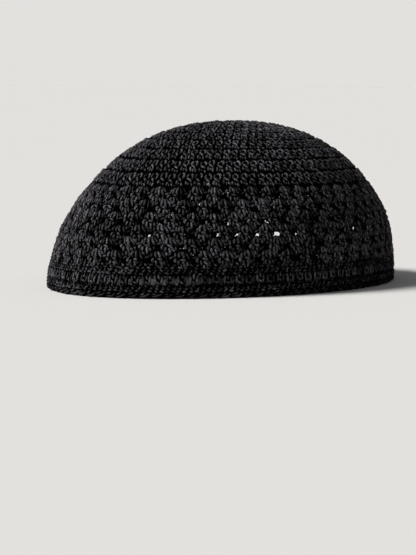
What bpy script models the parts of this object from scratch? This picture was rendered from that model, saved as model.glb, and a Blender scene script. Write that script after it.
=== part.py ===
"""A hand-crocheted kufi cap: three zones of one crocheted wall, worked in rounds from the top down.

Metres, +Z up, front towards -Y. The cap stands on its rim at z = 0, with its middle on the Z axis.
"""
from math import cos, pi, radians, sin

import bmesh
import bpy
import numpy as np
from mathutils import Matrix, Vector

# Outside of the cap
LENGTH = 0.206
HALF_WIDTH = 0.0773
HEIGHT = 0.0815
APEX_BACK = 0.0144
EGG_SHARE = 0.07
UPRIGHT_FOOT = 0.003
LACE_SWELL = 0.0006

# How a side leans in from the rim up to the apex: a larger lean keeps it upright for longer,
# and a larger turn rounds it over more sharply at the top
SIDE_LINES = {
    "front": {"lean": 1.50, "turn": 2.18},
    "back": {"lean": 2.16, "turn": 1.80},
    "side": {"lean": 2.00, "turn": 2.56},
}

# Heights where one zone ends and the next begins
CROWN_FOOT = 0.0514
LACE_FOOT = 0.0164

# Rounds of stitches
CROWN_ROUNDS = 9
LACE_ROUNDS = 6
FURROW = 0.0007

# Walls of crocheted cotton, and the clearance between zones
CROWN_WALL = 0.0030
LACE_WALL = 0.0024
RIM_WALL = 0.0030
ZONE_GAP = 0.0003

# The round of tall slits in the rim band, two to a cluster, and one in six of them cut through
CLUSTERS = 51
SLITS = 2 * CLUSTERS
SLIT_EVERY = 6
SLIT_WIDTH = 0.0018
SLIT_HEIGHT = 0.0028
SLIT_LEVEL = 0.0080

# Openwork: an opening between each two clusters of a round, and one in three of them cut through.
# The lowest round's first opening is so many slits round from the front, and each round above
# it starts so many slits further on.
CUT_EVERY = 3
OPENING_WIDTH = 0.0034
OPENING_HEIGHT = 0.0023
OPENING_UP = 0.0015
FIRST_OPENING = 1.45
OPENING_STEP = 0.77

# Furrows between the dense rounds of the rim band, and the flat edge it stands on
RIM_FURROWS = (0.0028, 0.0056, 0.0110)
RIM_FURROW = 0.0005
FLAT_EDGE = 0.0012

FACETS = 60
PROFILE_STEPS = 400
OUTLINE_STEPS = 720
PROBE_RUN = 0.0005
PROBE_TURN = 0.01
SMOOTH_ANGLE = radians(40)

YARN = {"color": (0.016, 0.016, 0.018, 1.0), "roughness": 0.85}


def side_line(side, share):
    """The share of a side's reach that is left at a share of the dome's height."""
    line = SIDE_LINES[side]
    return (1 - share ** line["lean"]) ** (1 / line["turn"])


def lace_swell(height):
    """The lace band stands a little proud of the dome's line, most in its middle."""
    share = (height - LACE_FOOT) / (CROWN_FOOT - LACE_FOOT)
    return LACE_SWELL * sin(pi * share) if 0 < share < 1 else 0.0


def section(height):
    """Middle, half length and half width of the level outline at a height."""
    share = max(height - UPRIGHT_FOOT, 0.0) / (HEIGHT - UPRIGHT_FOOT)
    share = min(share, 1.0)
    front = (LENGTH / 2 + APEX_BACK) * side_line("front", share) - APEX_BACK
    back = (LENGTH / 2 - APEX_BACK) * side_line("back", share) + APEX_BACK
    swell = lace_swell(height)
    half_length = (front + back) / 2 + swell
    half_width = HALF_WIDTH * side_line("side", share) + swell
    return (back - front) / 2, half_length, half_width


def dome_profile():
    """Length run along the wall from the apex, with its height and mean radius, at close steps."""
    heights = HEIGHT - (HEIGHT * np.linspace(0, 1, PROFILE_STEPS) ** 2)
    radii = np.array([sum(section(height)[1:]) / 2 for height in heights])
    steps = np.hypot(np.diff(radii), np.diff(heights))
    return np.concatenate([[0.0], np.cumsum(steps)]), heights, radii


RUN, RUN_HEIGHTS, RUN_RADII = dome_profile()


def height_at(run):
    return float(np.interp(run, RUN, RUN_HEIGHTS))


def run_at(height):
    return float(np.interp(-height, -RUN_HEIGHTS, RUN))


def slope_at(run):
    """Outward direction of the wall at a run from the apex, as (outwards, upwards)."""
    low, high = max(run - PROBE_RUN, 0.0), min(run + PROBE_RUN, RUN[-1])
    across = np.interp(high, RUN, RUN_RADII) - np.interp(low, RUN, RUN_RADII)
    down = height_at(low) - height_at(high)
    size = float(np.hypot(across, down))
    return down / size, across / size


def wall_point(run, turn, inset=0.0):
    """A point of the outside at a run from the apex, turned from the front (0) towards +X."""
    outwards, upwards = slope_at(run)
    height = height_at(run)
    middle, half_length, half_width = section(height)
    half_length -= inset * outwards
    half_width -= inset * outwards
    x = half_width * sin(turn) * (1 - EGG_SHARE * cos(turn))
    y = middle - half_length * cos(turn)
    return Vector((x, y, height - inset * upwards))


def turn_at(share, height):
    """The turn reached after a share of the way round the outline at a height, from the front."""
    _, half_length, half_width = section(height)
    turns = np.linspace(0, 2 * pi, OUTLINE_STEPS)
    across = half_width * np.sin(turns) * (1 - EGG_SHARE * np.cos(turns))
    along = half_length * np.cos(turns)
    way = np.concatenate([[0.0], np.cumsum(np.hypot(np.diff(across), np.diff(along)))])
    return float(np.interp(share % 1 * way[-1], way, turns))


def loft(name, rings, capped=False):
    """An open surface through level rings, each a (run, inset), from the top down."""
    mesh = bpy.data.meshes.new(name)
    shape = bmesh.new()
    turns = [turn_at(facet / FACETS, 0.0) for facet in range(FACETS)]
    lines = [[shape.verts.new(wall_point(run, turn, inset)) for turn in turns] for run, inset in rings]
    for upper, lower in zip(lines, lines[1:]):
        for here in range(FACETS):
            after = (here + 1) % FACETS
            shape.faces.new((upper[here], lower[here], lower[after], upper[after]))
    if capped:
        apex = shape.verts.new((0.0, APEX_BACK, HEIGHT))
        for here in range(FACETS):
            shape.faces.new((apex, lines[0][here], lines[0][(here + 1) % FACETS]))
    shape.to_mesh(mesh)
    shape.free()
    return bpy.data.objects.new(name, mesh)


def yarn_material(name):
    material = bpy.data.materials.new(name)
    material.use_nodes = True
    surface = material.node_tree.nodes["Principled BSDF"]
    surface.inputs["Base Color"].default_value = YARN["color"]
    surface.inputs["Roughness"].default_value = YARN["roughness"]
    surface.inputs["Metallic"].default_value = 0.0
    material.diffuse_color = YARN["color"]
    return material


def finish(piece, wall, collection):
    """Gives an open surface its wall, inwards, and its own material."""
    collection.objects.link(piece)
    solidify = piece.modifiers.new("wall", "SOLIDIFY")
    solidify.thickness = wall
    solidify.offset = -1
    solidify.use_even_offset = True
    piece.data.materials.append(yarn_material(piece.name + "_yarn"))
    piece.data.shade_smooth()
    piece.data.set_sharp_from_angle(angle=SMOOTH_ANGLE)
    return piece


def ribbed(runs, furrow):
    """Rings of ribs between furrows: a furrow at each run given, a crest midway between two."""
    rings = []
    for upper, lower in zip(runs, runs[1:]):
        rings += [(upper, furrow), ((upper + lower) / 2, 0.0)]
    return rings + [(runs[-1], furrow)]


def make_crown(collection):
    runs = np.linspace(0.0, run_at(CROWN_FOOT), CROWN_ROUNDS + 1)
    piece = loft("crown", ribbed(runs, FURROW)[1:], capped=True)
    return finish(piece, CROWN_WALL, collection)


def make_lace_band(collection):
    heights = np.linspace(CROWN_FOOT, LACE_FOOT, LACE_ROUNDS + 1)
    runs = [run_at(height) for height in heights]
    runs[0] += ZONE_GAP
    piece = loft("lace_band", [(run, 0.0) for run in runs])
    return finish(piece, LACE_WALL, collection)


def make_rim_band(collection):
    top = run_at(LACE_FOOT) + ZONE_GAP
    furrows = [run_at(height) for height in sorted(RIM_FURROWS, reverse=True)]
    edge = [(run_at(FLAT_EDGE), 0.0), (RUN[-1], 0.0)]
    piece = loft("rim_band", ribbed([top] + furrows, RIM_FURROW) + edge)
    return finish(piece, RIM_WALL, collection)


def opening(shape, height, slits_round, width, tall, wall):
    """A block through the wall, square to it, at a height and so many slits round from the front."""
    run = run_at(height)
    turn = turn_at(slits_round / SLITS, height)
    centre = wall_point(run, turn, wall / 2)
    along = wall_point(run, turn + PROBE_TURN) - wall_point(run, turn - PROBE_TURN)
    along.normalize()
    down = wall_point(run + PROBE_RUN, turn) - wall_point(run - PROBE_RUN, turn)
    down.normalize()
    out = down.cross(along).normalized()
    down = along.cross(out)
    frame = Matrix((along, out, down)).transposed().to_4x4()
    frame.translation = centre
    size = Matrix.Diagonal((width, 3 * wall, tall, 1.0))
    bmesh.ops.create_cube(shape, size=1.0, matrix=frame @ size)


def cutter(name, shape, collection):
    mesh = bpy.data.meshes.new(name)
    bmesh.ops.recalc_face_normals(shape, faces=shape.faces)
    shape.to_mesh(mesh)
    shape.free()
    piece = bpy.data.objects.new(name, mesh)
    piece.display_type = "WIRE"
    piece.hide_render = True
    collection.objects.link(piece)
    return piece


def cut(piece, tool):
    boolean = piece.modifiers.new("openings", "BOOLEAN")
    boolean.operation = "DIFFERENCE"
    boolean.solver = "EXACT"
    boolean.object = tool


def cut_lace(piece, collection):
    """Openings near the foot of each round, staggered from round to round."""
    shape = bmesh.new()
    feet = np.linspace(LACE_FOOT, CROWN_FOOT, LACE_ROUNDS + 1)[:-1]
    for row, foot in enumerate(feet):
        start = FIRST_OPENING + OPENING_STEP * row
        for cluster in range(row % CUT_EVERY, CLUSTERS, CUT_EVERY):
            place = start + cluster * SLITS / CLUSTERS
            opening(shape, foot + OPENING_UP, place, OPENING_WIDTH, OPENING_HEIGHT, LACE_WALL)
    cut(piece, cutter("lace_openings", shape, collection))


def cut_rim(piece, collection):
    shape = bmesh.new()
    for slit in range(0, SLITS, SLIT_EVERY):
        opening(shape, SLIT_LEVEL, slit, SLIT_WIDTH, SLIT_HEIGHT, RIM_WALL)
    cut(piece, cutter("rim_slits", shape, collection))


def clear_scene():
    for item in list(bpy.data.objects):
        bpy.data.objects.remove(item, do_unlink=True)


def new_collection(name):
    collection = bpy.data.collections.new(name)
    bpy.context.scene.collection.children.link(collection)
    return collection


def main():
    clear_scene()
    cap = new_collection("kufi_cap")
    cutters = new_collection("cutters")
    make_crown(cap)
    cut_lace(make_lace_band(cap), cutters)
    cut_rim(make_rim_band(cap), cutters)


main()
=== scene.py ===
"""Looks of the crocheted kufi cap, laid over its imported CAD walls.

Each kind of stitch is drawn once, as the paths of its strands in a cell of the round. Geometry Nodes
lay one at each place of its round, bend it to the wall and give the strands their thickness.
"""

from collections import namedtuple
from math import cos, pi, radians, sin

import bpy
import numpy as np
from mathutils import Matrix, Vector


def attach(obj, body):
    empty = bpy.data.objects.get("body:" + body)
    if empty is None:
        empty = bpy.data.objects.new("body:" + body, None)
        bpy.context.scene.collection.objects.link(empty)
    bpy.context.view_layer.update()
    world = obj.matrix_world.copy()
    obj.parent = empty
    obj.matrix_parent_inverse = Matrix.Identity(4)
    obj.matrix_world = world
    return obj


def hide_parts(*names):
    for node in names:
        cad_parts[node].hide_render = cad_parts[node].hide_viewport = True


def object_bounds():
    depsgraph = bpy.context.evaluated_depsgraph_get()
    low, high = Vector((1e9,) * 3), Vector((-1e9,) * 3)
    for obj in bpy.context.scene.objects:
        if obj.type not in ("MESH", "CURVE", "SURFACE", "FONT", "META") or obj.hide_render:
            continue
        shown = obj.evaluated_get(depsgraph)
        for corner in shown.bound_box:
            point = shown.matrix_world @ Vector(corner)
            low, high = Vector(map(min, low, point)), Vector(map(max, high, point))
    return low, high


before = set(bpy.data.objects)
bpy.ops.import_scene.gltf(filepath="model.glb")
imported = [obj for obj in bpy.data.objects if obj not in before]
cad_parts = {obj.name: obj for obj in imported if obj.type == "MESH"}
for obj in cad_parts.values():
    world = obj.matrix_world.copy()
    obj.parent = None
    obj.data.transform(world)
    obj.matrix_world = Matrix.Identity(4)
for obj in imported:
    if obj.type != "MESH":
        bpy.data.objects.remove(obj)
CAD_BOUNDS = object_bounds()

MILLIMETRE = 0.001

# The cap's outside, as in the CAD. The CAD's box gives its length and height, and its half width is
# that of the plan before it widens behind.
LENGTH = CAD_BOUNDS[1].y - CAD_BOUNDS[0].y
HALF_WIDTH = 0.0773
HEIGHT = CAD_BOUNDS[1].z
APEX_BACK = 0.0144
EGG_SHARE = 0.07
UPRIGHT_FOOT = 0.003
LACE_SWELL = 0.0006

# How a side leans in from the rim up to the apex: a larger lean keeps it upright for longer,
# and a larger turn rounds it over more sharply at the top
SIDE_LINES = {
    "front": {"lean": 1.50, "turn": 2.18},
    "back": {"lean": 2.16, "turn": 1.80},
    "side": {"lean": 2.00, "turn": 2.56},
}

# Heights where one zone ends and the next begins
CROWN_FOOT = 0.0514
LACE_FOOT = 0.0164

# The slits of the rim are the unit for starts and leans round the cap
SLITS = 102

# Crown: a round has GROWTH stitches for each round down from the apex, or STEEP_BASE and then
# STEEP_GROWTH for each where that is fewer. It starts CROWN_START of one of its own stitches further
# on for each round above it. A piece is its name, its first round, the round after its last, and its seed.
CROWN_ROUNDS = 9
GROWTH = 12
STEEP_BASE = 60
STEEP_GROWTH = 4
CROWN_START = 0.38
CROWN_LEAN = 0.2
CROWN_RAISED = -0.0001
CROWN_PIECES = (("crown_centre_rounds", 0, 6, 11), ("crown_outer_rounds", 6, 9, 12))

# Lace: where the lowest round's first opening is, and how much further on the next round up has its own
LACE_ROUNDS = 6
CLUSTERS = 51
FIRST_OPENING = 1.45
OPENING_STEP = 0.77
CLUSTER_LEAN = 0.23
LACE_RAISED = 0.0
LACE_PIECES = (
    ("lace_upper_rounds", 0, 2, 21),
    ("lace_middle_rounds", 2, 4, 22),
    ("lace_lower_rounds", 4, 6, 23),
)

# Rim: the height of each round's top, its start and its lean, from the top down
RIM_ROUNDS = {
    "upper": {"height": LACE_FOOT, "start": 0.1, "lean": 0.1},
    "middle": {"height": 0.0137, "start": 0.5, "lean": 0.1},
    "slits": {"height": 0.0110, "start": 0.06, "lean": 0.0},
    "lower": {"height": 0.0054, "start": 0.3, "lean": 0.1},
    "edge": {"height": 0.0030, "start": 0.0, "lean": 0.0},
}
RIM_RAISED = -0.00002

# Steps of the wall's lines. The chart of the wall goes on past the front by a share of the way
# round, so that stitches can cross the front.
PROFILE_STEPS = 400
OUTLINE_STEPS = 1441
CHART_MARGIN = 0.12
CHART_AROUND = 401
CHART_DOWN = 161
NEAREST_APEX = 0.0008

# Yarn, and how much of a drawn stitch's depth is kept below its outermost level, in mm
YARN_RADIUS = 0.00055
FINE_YARN_RADIUS = 0.00047
STRAND_SIDES = 5
STRAND_STEPS = 2
OUTERMOST = -0.5
RELIEF = 0.78

# Handwork: how far a stitch's place, width and lean stray, in stitches, its top, in rounds, and its
# level and its strands' points, in metres
LOOSE_PLACE = 0.04
LOOSE_SPAN = 0.05
LOOSE_LEAN = 0.10
LOOSE_TOP = 0.06
LOOSE_LEVEL = 0.00015
LOOSE_POINT = 0.00026

# Finish of the yarn: its colour before its shades multiply it, and its colour in a plain view. The shades
# are painted shade, darker deeper in the fabric and in the ply grooves, and tones that differ at random.
# The shade ranges are (value from, value to, shade from, shade to).
YARN_COLOUR = (0.0985, 0.0950, 0.1060)
PLAIN_COLOUR = (0.016, 0.016, 0.018, 1.0)
YARN_ROUGHNESS = 0.6
YARN_SPECULAR = 0.02
PLIES = 3.0
PLY_PERIOD = 0.0012
PLY_DEPTH = 0.00022
# Painted shade: the yarn's colour is darker in the grooves between its plies, least there
PLY_PAINTED_SHADE_SPREAD = 0.75
PLY_GROOVE_PAINTED_SHADE = 0.4
STRAND_TONES = (0.55, 1.5)
FIBRE_SCALE = 1100.0
FIBRE_DETAIL = 2.0
FIBRE_SHADES = (0.3, 0.7, 0.3, 1.95)
# Painted shade: the deeper the yarn lies in the fabric, in mm, the darker its colour
DEPTH_PAINTED_SHADES = (-0.14, 0.55, 1.0, 0.01)

# A round of stitches: how many, its top and foot as runs from the apex, its start and lean in slits
Round = namedtuple("Round", "count top foot start lean")


# The wall that the stitches lie on


def side_line(side, share):
    """The share of a side's reach that is left at a share of the dome's height."""
    line = SIDE_LINES[side]
    return (1 - share ** line["lean"]) ** (1 / line["turn"])


def section(height):
    """Middle, half length and half width of the cap's level outline at a height."""
    share = min(max(height - UPRIGHT_FOOT, 0.0) / (HEIGHT - UPRIGHT_FOOT), 1.0)
    front = (LENGTH / 2 + APEX_BACK) * side_line("front", share) - APEX_BACK
    back = (LENGTH / 2 - APEX_BACK) * side_line("back", share) + APEX_BACK
    lace = (height - LACE_FOOT) / (CROWN_FOOT - LACE_FOOT)
    swell = LACE_SWELL * sin(pi * lace) if 0 < lace < 1 else 0.0
    half_width = HALF_WIDTH * side_line("side", share) + swell
    return (back - front) / 2, (front + back) / 2 + swell, half_width


def dome_profile():
    """Length run along the wall from the apex, and the height there, at close steps."""
    heights = HEIGHT - HEIGHT * np.linspace(0, 1, PROFILE_STEPS) ** 2
    radii = np.array([sum(section(height)[1:]) / 2 for height in heights])
    steps = np.hypot(np.diff(radii), np.diff(heights))
    return np.concatenate([[0.0], np.cumsum(steps)]), heights


RUN, RUN_HEIGHTS = dome_profile()
WHOLE_RUN = float(RUN[-1])


def run_at(height):
    return float(np.interp(-height, -RUN_HEIGHTS, RUN))


def outline(height, shares):
    """Points of the level outline at a height, at shares of its way round from the front towards +X."""
    middle, half_length, half_width = section(height)
    turns = np.linspace(0, 2 * pi, OUTLINE_STEPS)
    across = half_width * np.sin(turns) * (1 - EGG_SHARE * np.cos(turns))
    along = middle - half_length * np.cos(turns)
    way = np.concatenate([[0.0], np.cumsum(np.hypot(np.diff(across), np.diff(along)))])
    turn = np.interp(shares % 1 * way[-1], way, turns)
    x = half_width * np.sin(turn) * (1 - EGG_SHARE * np.cos(turn))
    return np.stack([x, middle - half_length * np.cos(turn), np.full_like(x, height)], axis=1)


def linked(item):
    bpy.context.scene.collection.objects.link(item)
    return item


def wall_surface():
    """The cap's outside as a grid, with a chart of it: share of the way round, and run from the apex."""
    shares = np.linspace(-CHART_MARGIN, 1 + CHART_MARGIN, CHART_AROUND)
    runs = np.linspace(0.0, WHOLE_RUN, CHART_DOWN)
    heights = np.interp(runs, RUN, RUN_HEIGHTS)
    points = np.stack([outline(height, shares) for height in heights])
    points[0] = (0.0, APEX_BACK, HEIGHT)
    outward = np.cross(np.gradient(points, axis=0), np.gradient(points, axis=1))
    outward[0] = (0.0, 0.0, 1.0)
    outward /= np.linalg.norm(outward, axis=2, keepdims=True)
    index = np.arange(CHART_AROUND * CHART_DOWN).reshape(CHART_DOWN, CHART_AROUND)
    corners = [index[:-1, :-1], index[1:, :-1], index[1:, 1:], index[:-1, 1:]]
    faces = np.stack(corners, axis=2).reshape(-1, 4)
    mesh = bpy.data.meshes.new("wall")
    mesh.from_pydata(points.reshape(-1, 3).tolist(), [], faces.tolist())
    mesh.attributes.new("outward", "FLOAT_VECTOR", "POINT").data.foreach_set("vector", outward.ravel())
    chart = np.stack(np.meshgrid(np.linspace(0, 1, CHART_AROUND), np.linspace(0, 1, CHART_DOWN)), axis=2)
    spots = chart.reshape(-1, 2)[faces.ravel()]
    mesh.uv_layers.new(name="chart").data.foreach_set("uv", spots.ravel())
    return linked(bpy.data.objects.new("wall", mesh))


# Nodes


def put(tree, kind, feeds, **settings):
    """Adds a node, sets it, feeds its sockets from others or with values, and gives its first output."""
    node = tree.nodes.new(kind)
    for name, value in settings.items():
        setattr(node, name, value)
    for socket, value in feeds.items():
        if isinstance(value, bpy.types.NodeSocket):
            tree.links.new(value, node.inputs[socket])
        else:
            node.inputs[socket].default_value = value
    return node.outputs[0]


def calc(tree, operation, *values):
    return put(tree, "ShaderNodeMath", dict(enumerate(values)), operation=operation)


def vector_calc(tree, operation, feeds):
    return put(tree, "ShaderNodeVectorMath", feeds, operation=operation)


def parts_of(tree, vector):
    return put(tree, "ShaderNodeSeparateXYZ", {0: vector}).node.outputs


def position(tree):
    return put(tree, "GeometryNodeInputPosition", {})


def shape_of(tree, item):
    return put(tree, "GeometryNodeObjectInfo", {"Object": item}).node.outputs["Geometry"]


def attribute(tree, name, kind="FLOAT"):
    return put(tree, "GeometryNodeInputNamedAttribute", {"Name": name}, data_type=kind)


def store(tree, geometry, name, value, kind="FLOAT"):
    feeds = {"Geometry": geometry, "Name": name, "Value": value}
    return put(tree, "GeometryNodeStoreNamedAttribute", feeds, data_type=kind, domain="POINT")


# The Random Value node's sockets for each kind: its least value, its most and its result
RANDOM_SOCKETS = {"FLOAT_VECTOR": (0, 1, 0), "FLOAT": (2, 3, 1)}


def random_value(tree, kind, least, most, number, seed):
    """A random value for each number, the same each run."""
    low, high, result = RANDOM_SOCKETS[kind]
    feeds = {low: least, high: most, "ID": number, "Seed": seed}
    return put(tree, "FunctionNodeRandomValue", feeds, data_type=kind).node.outputs[result]


# The node tree that lays the stitches

STITCH_INPUTS = {
    "Places": "NodeSocketGeometry",
    "Stitch": "NodeSocketObject",
    "Wall": "NodeSocketObject",
    "Yarn radius": "NodeSocketFloat",
    "Sides": "NodeSocketInt",
    "Steps": "NodeSocketInt",
    "Unevenness": "NodeSocketFloat",
    "Seed": "NodeSocketInt",
    "Yarn": "NodeSocketMaterial",
}
USUAL_VALUES = {
    "Yarn radius": YARN_RADIUS,
    "Sides": STRAND_SIDES,
    "Steps": STRAND_STEPS,
    "Unevenness": LOOSE_POINT,
}

# What only the tree reads, taken off the finished piece
WORKING_MARKS = ("cell", "thick", "place", "span", "top", "tall", "lean", "raise", "chart", "facing")


def laid_strands(tree, given):
    """The drawn strands at each place. Each point keeps its place in the cell."""
    strands = put(tree, "GeometryNodeMeshToCurve", {"Mesh": shape_of(tree, given["Stitch"])})
    strands = store(tree, strands, "cell", position(tree), "FLOAT_VECTOR")
    laid = put(tree, "GeometryNodeInstanceOnPoints", {"Points": given["Places"], "Instance": strands})
    return put(tree, "GeometryNodeRealizeInstances", {"Geometry": laid})


def spot_on_chart(tree, cell):
    """Where a point of the cell falls on the wall's chart."""
    share = calc(tree, "MULTIPLY_ADD", attribute(tree, "span"), cell["X"], attribute(tree, "place"))
    share = calc(tree, "MULTIPLY_ADD", attribute(tree, "lean"), cell["Y"], share)
    run = calc(tree, "MULTIPLY_ADD", attribute(tree, "tall"), cell["Y"], attribute(tree, "top"))
    run = calc(tree, "MINIMUM", calc(tree, "MAXIMUM", run, NEAREST_APEX), WHOLE_RUN)
    chart_u = calc(tree, "DIVIDE", calc(tree, "ADD", share, CHART_MARGIN), 1 + 2 * CHART_MARGIN)
    chart_v = calc(tree, "DIVIDE", run, WHOLE_RUN)
    return put(tree, "ShaderNodeCombineXYZ", {"X": chart_u, "Y": chart_v})


def bent_strands(tree, given, laid):
    """The strands bent to the wall, each point at its own level off it and a little loose."""
    cell = parts_of(tree, attribute(tree, "cell", "FLOAT_VECTOR"))
    sampled = {
        "Mesh": shape_of(tree, given["Wall"]),
        "UV Map": attribute(tree, "chart", "FLOAT_VECTOR"),
        "Sample UV": spot_on_chart(tree, cell),
    }

    def on_wall(value):
        feeds = {"Value": value, **sampled}
        return put(tree, "GeometryNodeSampleUVSurface", feeds, data_type="FLOAT_VECTOR")

    outward = on_wall(attribute(tree, "outward", "FLOAT_VECTOR"))
    level = calc(tree, "ADD", cell["Z"], attribute(tree, "raise"))
    moved = vector_calc(tree, "MULTIPLY_ADD", {0: outward, 1: level, 2: on_wall(position(tree))})
    index = put(tree, "GeometryNodeInputIndex", {})
    loose = random_value(tree, "FLOAT_VECTOR", (-1.0, -1.0, -1.0), (1.0, 1.0, 1.0), index, given["Seed"])
    nudge = vector_calc(tree, "SCALE", {0: loose, "Scale": given["Unevenness"]})
    moved = vector_calc(tree, "ADD", {0: moved, 1: nudge})
    bent = put(tree, "GeometryNodeSetPosition", {"Geometry": laid, "Position": moved})
    # The depth below the wall's outside, in mm, which the yarn's material turns into painted shade
    bent = store(tree, bent, "depth", calc(tree, "MULTIPLY", level, -1 / MILLIMETRE))
    bent = store(tree, bent, "facing", outward, "FLOAT_VECTOR")
    strand = put(tree, "GeometryNodeCurveOfPoint", {"Point Index": index})
    return store(tree, bent, "tone", random_value(tree, "FLOAT", *STRAND_TONES, strand, given["Seed"]))


def rounded_strands(tree, given, bent):
    """Smooth tubes along the strands, marked with the depth in mm for painted shade and the place on the
    yarn.
    """
    bent = put(tree, "GeometryNodeCurveSplineType", {"Curve": bent}, spline_type="CATMULL_ROM")
    bent = put(tree, "GeometryNodeSetSplineResolution", {"Geometry": bent, "Resolution": given["Steps"]})
    bent = store(tree, bent, "along", put(tree, "GeometryNodeSplineParameter", {}).node.outputs["Length"])
    ring = put(tree, "GeometryNodeCurvePrimitiveCircle", {"Resolution": given["Sides"], "Radius": 1.0})
    ring = store(tree, ring, "around", position(tree), "FLOAT_VECTOR")
    thick = calc(tree, "MULTIPLY", attribute(tree, "thick"), given["Yarn radius"])
    feeds = {"Curve": bent, "Profile Curve": ring, "Scale": thick, "Fill Caps": True}
    tubes = put(tree, "GeometryNodeCurveToMesh", feeds)
    # The depth of each point on the tube's surface, for the painted shade
    feeds = {0: put(tree, "GeometryNodeInputNormal", {}), 1: attribute(tree, "facing", "FLOAT_VECTOR")}
    facing = vector_calc(tree, "DOT_PRODUCT", feeds).node.outputs["Value"]
    nearer = calc(tree, "MULTIPLY", facing, calc(tree, "DIVIDE", thick, MILLIMETRE))
    tubes = store(tree, tubes, "depth", calc(tree, "SUBTRACT", attribute(tree, "depth"), nearer))
    return put(tree, "GeometryNodeSetShadeSmooth", {"Geometry": tubes, "Shade Smooth": True})


def stitch_tree():
    """Lays the drawn stitch at each place, bends it to the wall and rounds its strands."""
    tree = bpy.data.node_groups.new("stitches_in_rounds", "GeometryNodeTree")
    for name, kind in STITCH_INPUTS.items():
        tree.interface.new_socket(name, in_out="INPUT", socket_type=kind)
    tree.interface.new_socket("Stitches", in_out="OUTPUT", socket_type="NodeSocketGeometry")
    given = tree.nodes.new("NodeGroupInput").outputs
    tubes = rounded_strands(tree, given, bent_strands(tree, given, laid_strands(tree, given)))
    tubes = put(tree, "GeometryNodeRealizeInstances", {"Geometry": tubes})
    tubes = put(tree, "GeometryNodeSetMaterial", {"Geometry": tubes, "Material": given["Yarn"]})
    result = tree.nodes.new("NodeGroupOutput")
    tree.links.new(tubes, result.inputs["Stitches"])
    return tree


# Stitches laid in rounds


def drawn_stitch(strands):
    """A drawn stitch: each strand a row of (across, down, out in mm, thickness) in its cell."""
    points, edges, thick = [], [], []
    for strand in strands:
        first = len(points)
        edges += [(first + step, first + step + 1) for step in range(len(strand) - 1)]
        for across, down, out, thickness in strand:
            points.append((across, down, (OUTERMOST + RELIEF * (out - OUTERMOST)) * MILLIMETRE))
            thick.append(thickness)
    mesh = bpy.data.meshes.new("drawn_stitch")
    mesh.from_pydata(points, edges, [])
    mesh.attributes.new("thick", "FLOAT", "POINT").data.foreach_set("value", thick)
    return linked(bpy.data.objects.new("drawn_stitch", mesh))


def round_places(rounds, seed, raised):
    """A point for each stitch of the rounds, with its place, width, top, depth, lean and level."""
    chance = np.random.default_rng(seed)
    values = {name: [] for name in ("place", "span", "top", "tall", "lean", "raise")}
    for count, top, foot, start, lean in rounds:
        span = 1.0 / count
        loose = chance.uniform(-1, 1, (4, count))
        place = (start / SLITS + np.arange(count) * span) + LOOSE_PLACE * span * loose[0]
        values["place"].append(place % 1)
        values["span"].append(np.full(count, span) * (1 + LOOSE_SPAN * loose[1]))
        values["top"].append(top + LOOSE_TOP * (foot - top) * loose[2])
        values["tall"].append(np.full(count, foot - top))
        values["lean"].append(np.full(count, lean / SLITS) + LOOSE_LEAN * span * loose[3])
        values["raise"].append(LOOSE_LEVEL * chance.uniform(-1, 1, count) + raised)
    values = {name: np.concatenate(rows) for name, rows in values.items()}
    mesh = bpy.data.meshes.new("places")
    mesh.from_pydata([(0.0, 0.0, 0.0)] * len(values["place"]), [], [])
    for name, row in values.items():
        mesh.attributes.new(name, "FLOAT", "POINT").data.foreach_set("value", row.astype(np.float32))
    return linked(bpy.data.objects.new("places", mesh))


def crochet(tree, name, strands, rounds, seed, raised, given):
    """A plain mesh of the drawn stitch at every place of the rounds, with the tree's inputs given."""
    stitch = drawn_stitch(strands)
    places = round_places(rounds, seed, raised)
    modifier = places.modifiers.new("stitches", "NODES")
    modifier.node_group = tree
    given = {**USUAL_VALUES, **given, "Stitch": stitch, "Seed": seed}
    for item in tree.interface.items_tree:
        if item.name in given:
            modifier[item.identifier] = given[item.name]
    bpy.context.view_layer.update()
    graph = bpy.context.evaluated_depsgraph_get()
    worked = places.evaluated_get(graph)
    mesh = bpy.data.meshes.new_from_object(worked, preserve_all_data_layers=True, depsgraph=graph)
    mesh.name = name
    for mark in WORKING_MARKS:
        if mark in mesh.attributes:
            mesh.attributes.remove(mesh.attributes[mark])
    bpy.data.objects.remove(places)
    bpy.data.objects.remove(stitch)
    return linked(bpy.data.objects.new(name, mesh))


def worn_by(piece, node):
    """The piece stands for a CAD node, whose part it hides, and rides with the cap."""
    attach(piece, "root")
    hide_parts(node)


# Yarn


def material_mark(tree, name, output):
    """What the piece's own attribute gives a material."""
    node = tree.nodes.new("ShaderNodeAttribute")
    node.attribute_name = name
    return node.outputs[output]


def shade_from(tree, value, shades, kind="LINEAR"):
    feeds = dict(zip(("From Min", "From Max", "To Min", "To Max"), shades))
    return put(tree, "ShaderNodeMapRange", {"Value": value, **feeds}, interpolation_type=kind)


def ply_pattern(tree):
    """The twist of the plies, from 0 in the grooves between them to 1 on their crests."""
    around = parts_of(tree, material_mark(tree, "around", "Vector"))
    angle = calc(tree, "ARCTAN2", around["Y"], around["X"])
    along = material_mark(tree, "along", "Fac")
    lay = calc(tree, "MULTIPLY_ADD", along, 2 * pi / PLY_PERIOD, calc(tree, "MULTIPLY", angle, PLIES))
    return calc(tree, "ABSOLUTE", calc(tree, "SINE", calc(tree, "MULTIPLY", lay, 0.5)))


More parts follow.
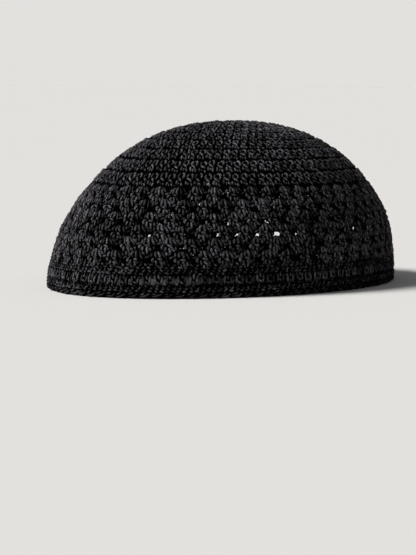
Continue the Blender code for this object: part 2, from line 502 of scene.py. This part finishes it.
def yarn_material(name):
    """Matte black cotton with twisted plies, and painted shade in their grooves and deeper among its
    neighbours.
    """
    material = bpy.data.materials.new(name)
    material.use_nodes = True
    material.diffuse_color = PLAIN_COLOUR
    tree = material.node_tree
    surface = tree.nodes["Principled BSDF"]
    surface.inputs["Roughness"].default_value = YARN_ROUGHNESS
    surface.inputs["Specular IOR Level"].default_value = YARN_SPECULAR

    ply = ply_pattern(tree)
    normal = put(tree, "ShaderNodeBump", {"Strength": 1.0, "Distance": PLY_DEPTH, "Height": ply})
    tree.links.new(normal, surface.inputs["Normal"])

    place = tree.nodes.new("ShaderNodeTexCoord").outputs["Object"]
    feeds = {"Vector": place, "Scale": FIBRE_SCALE, "Detail": FIBRE_DETAIL}
    fibre = put(tree, "ShaderNodeTexNoise", feeds)
    depth = material_mark(tree, "depth", "Fac")
    # Painted shade in the ply grooves and deeper in the fabric; the fibres and strands vary in tone at
    # random
    shades = (
        shade_from(tree, fibre, FIBRE_SHADES),
        calc(tree, "MULTIPLY_ADD", ply, PLY_PAINTED_SHADE_SPREAD, PLY_GROOVE_PAINTED_SHADE),
        shade_from(tree, depth, DEPTH_PAINTED_SHADES, "SMOOTHSTEP"),
    )
    shade = material_mark(tree, "tone", "Fac")
    for factor in shades:
        shade = calc(tree, "MULTIPLY", shade, factor)
    colour = vector_calc(tree, "SCALE", {0: YARN_COLOUR, "Scale": shade})
    tree.links.new(colour, surface.inputs["Base Color"])
    return material


# Drawn stitches: each point is (across, down, out, thickness). Across and down are shares of the
# cell, out is in mm from the wall's outside, and thickness is a share of the yarn's radius.

DOUBLE_CROCHET = [
    # the loop at the top, its right side proud, and a strand in its hole
    [(0.30, 0.11, -2.0, 0.8), (0.50, 0.08, -0.45, 1.1), (0.72, 0.15, -0.05, 1.25), (0.78, 0.30, -0.2, 1.2),
     (0.69, 0.43, -0.8, 1.0), (0.58, 0.52, -2.0, 0.8)],
    [(0.40, 0.05, -2.0, 0.8), (0.23, 0.11, -0.55, 1.1), (0.14, 0.22, -0.45, 1.15), (0.17, 0.35, -0.65, 1.1),
     (0.30, 0.46, -1.6, 0.8)],
    [(0.36, 0.17, -1.6, 0.8), (0.45, 0.26, -0.8, 1.0), (0.53, 0.38, -1.6, 0.8)],
    # the wrap, slanting down across the post
    [(0.05, 0.29, -2.0, 0.8), (0.22, 0.39, -0.55, 1.15), (0.44, 0.49, -0.2, 1.3), (0.66, 0.61, -0.45, 1.15),
     (0.84, 0.74, -1.9, 0.8)],
    # the legs of the post
    [(0.24, 0.45, -1.8, 0.8), (0.14, 0.58, -0.6, 1.1), (0.15, 0.75, -0.4, 1.3), (0.26, 0.93, -1.7, 0.85)],
    [(0.36, 0.60, -1.9, 0.8), (0.42, 0.71, -0.6, 1.15), (0.46, 0.83, -0.65, 1.15), (0.44, 0.97, -2.1, 0.8)],
    [(0.60, 0.70, -1.8, 0.8), (0.70, 0.77, -0.4, 1.2), (0.77, 0.88, -0.5, 1.2), (0.82, 1.01, -1.7, 0.9)],
    # a strand low between two posts, and the chain along the foot
    [(0.95, 0.08, -2.1, 0.8), (0.98, 0.26, -1.6, 0.9), (1.00, 0.48, -1.6, 0.9), (0.98, 0.66, -2.1, 0.8)],
    [(-0.10, 0.98, -2.2, 1.2), (0.45, 1.00, -1.6, 1.2), (1.10, 0.98, -2.2, 1.2)],
    # inside of the cap
    [(0.02, 0.00, -2.5, 1.7), (0.02, 1.02, -2.5, 1.7)],
    [(0.35, 0.00, -2.5, 1.7), (0.35, 1.02, -2.5, 1.7)],
    [(0.68, 0.00, -2.5, 1.7), (0.68, 1.02, -2.5, 1.7)],
]

LACE_CLUSTER = [
    # posts hanging from the chain above, the right ones slanting away
    [(-0.06, -0.10, -1.6, 0.8), (-0.12, 0.04, -0.8, 1.15), (-0.17, 0.26, -0.6, 1.3),
     (-0.16, 0.48, -0.8, 1.15), (-0.12, 0.64, -1.8, 0.85)],
    [(0.0, -0.12, -1.5, 0.8), (-0.01, 0.06, -0.65, 1.2), (0.02, 0.30, -0.5, 1.35), (0.05, 0.54, -0.8, 1.15),
     (0.09, 0.70, -1.8, 0.85)],
    [(0.06, -0.10, -1.6, 0.8), (0.13, 0.08, -0.95, 1.1), (0.21, 0.30, -0.8, 1.2), (0.29, 0.52, -0.85, 1.15),
     (0.36, 0.72, -1.8, 0.85)],
    [(0.16, -0.06, -1.7, 0.8), (0.28, 0.10, -0.9, 1.05), (0.39, 0.31, -0.85, 1.1), (0.48, 0.50, -1.7, 0.8)],
    # the wrap across the feet of the posts
    [(-0.18, 0.54, -1.7, 0.8), (-0.07, 0.61, -0.6, 1.1), (0.06, 0.69, -0.55, 1.2), (0.15, 0.82, -1.7, 0.8)],
    # heads at the foot, the first a loop beside the opening
    [(-0.20, 0.50, -1.8, 0.8), (-0.31, 0.59, -0.6, 1.15), (-0.34, 0.77, -0.4, 1.3),
     (-0.27, 0.98, -1.6, 0.85)],
    [(-0.12, 0.66, -1.8, 0.8), (-0.19, 0.78, -0.7, 1.15), (-0.19, 0.98, -0.65, 1.25),
     (-0.25, 1.18, -1.7, 0.8)],
    [(-0.07, 0.72, -1.7, 0.8), (-0.01, 0.84, -0.6, 1.2), (0.03, 1.02, -0.55, 1.3), (0.03, 1.22, -0.8, 1.15),
     (0.0, 1.40, -1.8, 0.8)],
    [(0.06, 0.72, -1.8, 0.8), (0.13, 0.84, -0.8, 1.15), (0.18, 0.99, -0.8, 1.2), (0.20, 1.16, -1.8, 0.8)],
    [(0.20, 0.66, -1.8, 0.8), (0.29, 0.76, -0.9, 1.05), (0.30, 0.90, -0.95, 1.05), (0.25, 1.05, -1.8, 0.8)],
    # knobs in the hollow between two clusters of the next round
    [(-0.18, 1.04, -1.8, 0.8), (-0.12, 1.14, -0.75, 1.15), (-0.10, 1.30, -0.75, 1.2),
     (-0.13, 1.45, -1.8, 0.8)],
    [(0.36, 0.58, -1.8, 0.8), (0.44, 0.51, -0.85, 1.1), (0.57, 0.43, -0.85, 1.1), (0.66, 0.35, -1.8, 0.8)],
    [(0.76, 0.06, -1.8, 0.8), (0.70, 0.22, -0.7, 1.2), (0.68, 0.42, -0.75, 1.2), (0.72, 0.60, -1.8, 0.8)],
    # chain under the opening above, and strands behind
    [(-0.42, 0.03, -1.8, 1.0), (-0.25, 0.01, -1.1, 1.1), (0.27, 0.01, -1.2, 1.1), (0.44, 0.04, -1.9, 1.0)],
    [(0.22, 0.08, -2.4, 1.4), (0.78, 0.08, -2.4, 1.4)],
    [(0.24, 0.29, -2.5, 1.4), (0.76, 0.29, -2.5, 1.4)],
    [(0.26, 0.46, -2.3, 1.1), (0.74, 0.46, -2.3, 1.1)],
    [(-0.25, 0.18, -2.3, 1.45), (0.25, 0.18, -2.3, 1.45)],
    [(-0.26, 0.42, -2.2, 1.45), (0.26, 0.42, -2.2, 1.45)],
    [(-0.28, 0.66, -2.2, 1.45), (0.28, 0.66, -2.2, 1.45)],
    [(-0.28, 0.89, -2.3, 1.45), (0.28, 0.89, -2.3, 1.45)],
]

SINGLE_CROCHET = [
    # the two legs of the V, and a strand between them
    [(0.06, -0.22, -1.6, 0.8), (0.10, 0.06, -0.75, 1.0), (0.22, 0.36, -0.6, 1.05), (0.32, 0.66, -1.9, 0.8)],
    [(0.88, -0.16, -1.6, 0.8), (0.80, 0.10, -0.75, 1.0), (0.64, 0.34, -0.6, 1.05), (0.52, 0.58, -1.9, 0.8)],
    [(0.34, -0.04, -1.9, 0.8), (0.44, 0.04, -0.9, 0.9), (0.54, 0.18, -0.9, 0.9), (0.56, 0.36, -2.0, 0.8)],
    # loops along the foot
    [(0.28, 0.94, -2.0, 0.8), (0.40, 0.70, -0.75, 1.0), (0.62, 0.70, -0.55, 1.1), (0.78, 1.02, -1.7, 0.8)],
    [(-0.20, 0.96, -2.0, 0.8), (-0.06, 0.66, -0.85, 0.95), (0.10, 0.72, -0.7, 1.0),
     (0.22, 1.12, -1.8, 0.8)],
    # strands behind
    [(-0.05, 0.12, -2.3, 1.3), (1.0, 0.12, -2.3, 1.3)],
    [(-0.05, 0.50, -2.3, 1.3), (1.0, 0.50, -2.3, 1.3)],
    [(-0.05, 0.88, -2.3, 1.3), (1.0, 0.88, -2.3, 1.3)],
]

SLIT_POST = [
    # the post's two sides, beside the slits
    [(0.12, -0.26, -1.7, 0.8), (0.18, 0.04, -0.8, 1.0), (0.22, 0.36, -0.55, 1.2), (0.25, 0.66, -0.7, 1.15),
     (0.34, 0.98, -1.9, 0.8)],
    [(0.90, -0.20, -1.7, 0.8), (0.81, 0.10, -0.85, 1.0), (0.77, 0.40, -0.6, 1.2), (0.79, 0.68, -0.8, 1.1),
     (0.68, 1.04, -1.9, 0.8)],
    # the top and the wrap of the post
    [(0.42, -0.26, -1.8, 0.8), (0.46, 0.02, -0.8, 1.05), (0.54, 0.24, -0.6, 1.15), (0.50, 0.48, -1.9, 0.8)],
    [(0.28, 0.46, -1.9, 0.8), (0.42, 0.56, -0.6, 1.1), (0.60, 0.68, -0.55, 1.1), (0.74, 0.84, -1.9, 0.8)],
    [(0.36, 0.74, -2.0, 0.8), (0.44, 0.84, -0.75, 1.0), (0.52, 0.98, -0.85, 0.95), (0.54, 1.12, -1.8, 0.8)],
    # over and under the slit on the post's left
    [(-0.30, -0.04, -1.7, 0.9), (-0.12, 0.14, -0.95, 1.0), (0.06, 0.20, -1.05, 1.0),
     (0.26, 0.02, -1.7, 0.9)],
    [(-0.30, 0.98, -1.7, 0.9), (-0.06, 0.86, -1.0, 1.05), (0.12, 0.92, -1.1, 1.0), (0.30, 1.1, -1.7, 0.9)],
    # strands behind
    [(0.30, 0.0, -2.4, 1.3), (0.30, 1.0, -2.4, 1.3)],
    [(0.50, 0.0, -2.3, 1.3), (0.50, 1.0, -2.3, 1.3)],
    [(0.70, 0.0, -2.4, 1.3), (0.70, 1.0, -2.4, 1.3)],
]

EDGE_SCALLOP = [
    # a cord along the foot that rises at its end, and a shorter one above it
    [(-0.22, 0.58, -2.3, 0.8), (0.00, 0.67, -1.2, 1.0), (0.34, 0.67, -0.7, 1.1), (0.70, 0.50, -0.7, 1.1),
     (0.96, 0.12, -1.0, 1.0), (1.04, -0.10, -2.2, 0.8)],
    [(-0.10, 0.30, -2.2, 0.8), (0.12, 0.34, -0.9, 0.95), (0.42, 0.14, -0.7, 1.0), (0.62, -0.12, -2.0, 0.8)],
    # strands behind
    [(-0.05, 0.58, -2.3, 1.3), (1.05, 0.58, -2.3, 1.3)],
    [(-0.05, 0.20, -2.3, 1.3), (1.05, 0.20, -2.3, 1.3)],
]


# Pieces


def crown_rounds(first, last):
    """Rounds of double crochet from the apex down."""
    depth = run_at(CROWN_FOOT)
    rounds = []
    for step in range(first, last):
        count = min(GROWTH * (step + 1), STEEP_BASE + STEEP_GROWTH * (step + 1))
        top = depth * step / CROWN_ROUNDS
        foot = depth * (step + 1) / CROWN_ROUNDS
        rounds.append(Round(count, top, foot, CROWN_START * step * SLITS / count, CROWN_LEAN))
    return rounds


def make_crown(tree, wall):
    given = {"Wall": wall, "Yarn": yarn_material("crown_yarn"), "Yarn radius": FINE_YARN_RADIUS}
    for name, first, last, seed in CROWN_PIECES:
        rounds = crown_rounds(first, last)
        piece = crochet(tree, name, DOUBLE_CROCHET, rounds, seed, CROWN_RAISED, given)
        worn_by(piece, "crown")


def lace_rounds(first, last):
    """Rounds of clusters from the top down. A cluster hangs from each opening of the round above."""
    heights = np.linspace(CROWN_FOOT, LACE_FOOT, LACE_ROUNDS + 1)
    tops = [run_at(height) for height in heights]
    rounds = []
    for step in range(first, last):
        start = FIRST_OPENING + OPENING_STEP * (LACE_ROUNDS - step)
        rounds.append(Round(CLUSTERS, tops[step], tops[step + 1], start, CLUSTER_LEAN))
    return rounds


def make_lace(tree, wall):
    given = {"Wall": wall, "Yarn": yarn_material("lace_yarn")}
    for name, first, last, seed in LACE_PIECES:
        piece = crochet(tree, name, LACE_CLUSTER, lace_rounds(first, last), seed, LACE_RAISED, given)
        worn_by(piece, "lace_band")


def rim_rounds(*names):
    """The named rounds of the rim, each from its own height down to the next one's."""
    tops = [run_at(settings["height"]) for settings in RIM_ROUNDS.values()]
    feet = dict(zip(RIM_ROUNDS, tops[1:] + [WHOLE_RUN]))
    tops = dict(zip(RIM_ROUNDS, tops))
    rounds = []
    for name in names:
        settings = RIM_ROUNDS[name]
        rounds.append(Round(SLITS, tops[name], feet[name], settings["start"], settings["lean"]))
    return rounds


def make_rim(tree, wall):
    given = {"Wall": wall, "Yarn": yarn_material("rim_yarn")}
    kinds = (
        ("rim_dense_rounds", SINGLE_CROCHET, rim_rounds("upper", "middle", "lower"), 31),
        ("rim_slit_round", SLIT_POST, rim_rounds("slits"), 32),
        ("rim_edge_round", EDGE_SCALLOP, rim_rounds("edge"), 33),
    )
    for name, strands, rounds, seed in kinds:
        piece = crochet(tree, name, strands, rounds, seed, RIM_RAISED, given)
        worn_by(piece, "rim_band")


# Studio: the camera's target falls on a pixel of the photograph's frame

CAMERA_TARGET = Vector((0.0, 0.0, 0.0081))
CAMERA_AZIMUTH = radians(38.2)
CAMERA_ELEVATION = radians(4.8)
CAMERA_ROLL = radians(0.2)
CAMERA_AWAY = 1.1
CAMERA_RANGE = (0.01, 200.0)
TARGET_PIXEL = (220.4, 265.65)
PHOTO = (416, 555)
FOCAL_PIXELS = 2162.0
SENSOR = 36.0

# Each light shines on one point, along shares of the camera's right and back and of straight up
LIT_POINT = Vector((0.0, 0.0, 0.04))
LIGHT_AWAY = 1.8
DAYLIGHT = {"towards": (1.3, -0.2, -1.35), "strength": 3.4, "colour": (1.0, 0.985, 0.96)}
DAYLIGHT_ANGLE = radians(22)
FROM_ABOVE = {"towards": (0.0, 0.3, -1.0), "strength": 0.46, "colour": (0.98, 0.99, 1.0)}
FROM_ABOVE_ANGLE = radians(110)
FILL = {"towards": (-1.2, -0.9, -0.9), "strength": 0.25, "colour": (0.97, 0.98, 1.0)}
FILL_SIZE = 1.6

FLOOR_REACH = 60.0
FLOOR_COLOUR = (0.835, 0.825, 0.817, 1.0)
ROOM_COLOUR = (0.765, 0.75, 0.73, 1.0)


def camera_axes():
    """Right, up and back directions of the camera, before its roll."""
    level = cos(CAMERA_ELEVATION)
    back = Vector((sin(CAMERA_AZIMUTH) * level, -cos(CAMERA_AZIMUTH) * level, sin(CAMERA_ELEVATION)))
    right = Vector((cos(CAMERA_AZIMUTH), sin(CAMERA_AZIMUTH), 0.0))
    return right, back.cross(right), back


def make_camera():
    right, up, back = camera_axes()
    data = bpy.data.cameras.new("camera")
    camera = linked(bpy.data.objects.new("camera", data))
    turned = Matrix((right, up, back)).transposed().to_4x4()
    place = Matrix.Translation(CAMERA_TARGET + back * CAMERA_AWAY)
    camera.matrix_world = place @ turned @ Matrix.Rotation(CAMERA_ROLL, 4, "Z")
    long_side = max(PHOTO)
    data.sensor_width = SENSOR
    data.lens = FOCAL_PIXELS * SENSOR / long_side
    data.shift_x = (PHOTO[0] / 2 - TARGET_PIXEL[0]) / long_side
    data.shift_y = (TARGET_PIXEL[1] - PHOTO[1] / 2) / long_side
    data.clip_start, data.clip_end = CAMERA_RANGE
    bpy.context.scene.camera = camera


def light(name, kind, towards, strength, colour):
    """A light that stands back from the lit point and shines on it."""
    right, _, back = camera_axes()
    aim = towards[0] * right + towards[1] * back + towards[2] * Vector((0.0, 0.0, 1.0))
    data = bpy.data.lights.new(name, kind)
    data.energy = strength
    data.color = colour
    lamp = linked(bpy.data.objects.new(name, data))
    lamp.location = LIT_POINT - aim.normalized() * LIGHT_AWAY
    lamp.rotation_euler = aim.to_track_quat("-Z", "Y").to_euler()
    return data


def make_lights():
    """Daylight from the upper left, a broad soft light from above, and a weak fill from the right."""
    daylight = light("daylight", "SUN", **DAYLIGHT)
    daylight.angle = DAYLIGHT_ANGLE
    above = light("soft_light_from_above", "SUN", **FROM_ABOVE)
    above.angle = FROM_ABOVE_ANGLE
    fill = light("fill", "AREA", **FILL)
    fill.shape = "DISK"
    fill.size = FILL_SIZE


def make_surroundings():
    """A pale room beyond the floor, seen but giving no light of its own."""
    world = bpy.data.worlds.new("studio")
    world.use_nodes = True
    world.node_tree.nodes["Background"].inputs["Color"].default_value = ROOM_COLOUR
    world.cycles_visibility.diffuse = False
    world.cycles_visibility.glossy = False
    bpy.context.scene.world = world


def make_floor():
    """A wide pale floor."""
    mesh = bpy.data.meshes.new("floor")
    near, far = -FLOOR_REACH, FLOOR_REACH
    corners = [(near, near, 0.0), (far, near, 0.0), (far, far, 0.0), (near, far, 0.0)]
    mesh.from_pydata(corners, [], [(0, 1, 2, 3)])
    material = bpy.data.materials.new("pale_floor")
    material.use_nodes = True
    surface = material.node_tree.nodes["Principled BSDF"]
    surface.inputs["Base Color"].default_value = FLOOR_COLOUR
    surface.inputs["Roughness"].default_value = 1.0
    surface.inputs["Specular IOR Level"].default_value = 0.0
    mesh.materials.append(material)
    floor = linked(bpy.data.objects.new("floor", mesh))


def main():
    bpy.context.scene.view_settings.view_transform = "Standard"
    make_camera()
    make_lights()
    make_surroundings()
    make_floor()
    wall = wall_surface()
    tree = stitch_tree()
    make_crown(tree, wall)
    make_lace(tree, wall)
    make_rim(tree, wall)
    bpy.data.objects.remove(wall)


main()
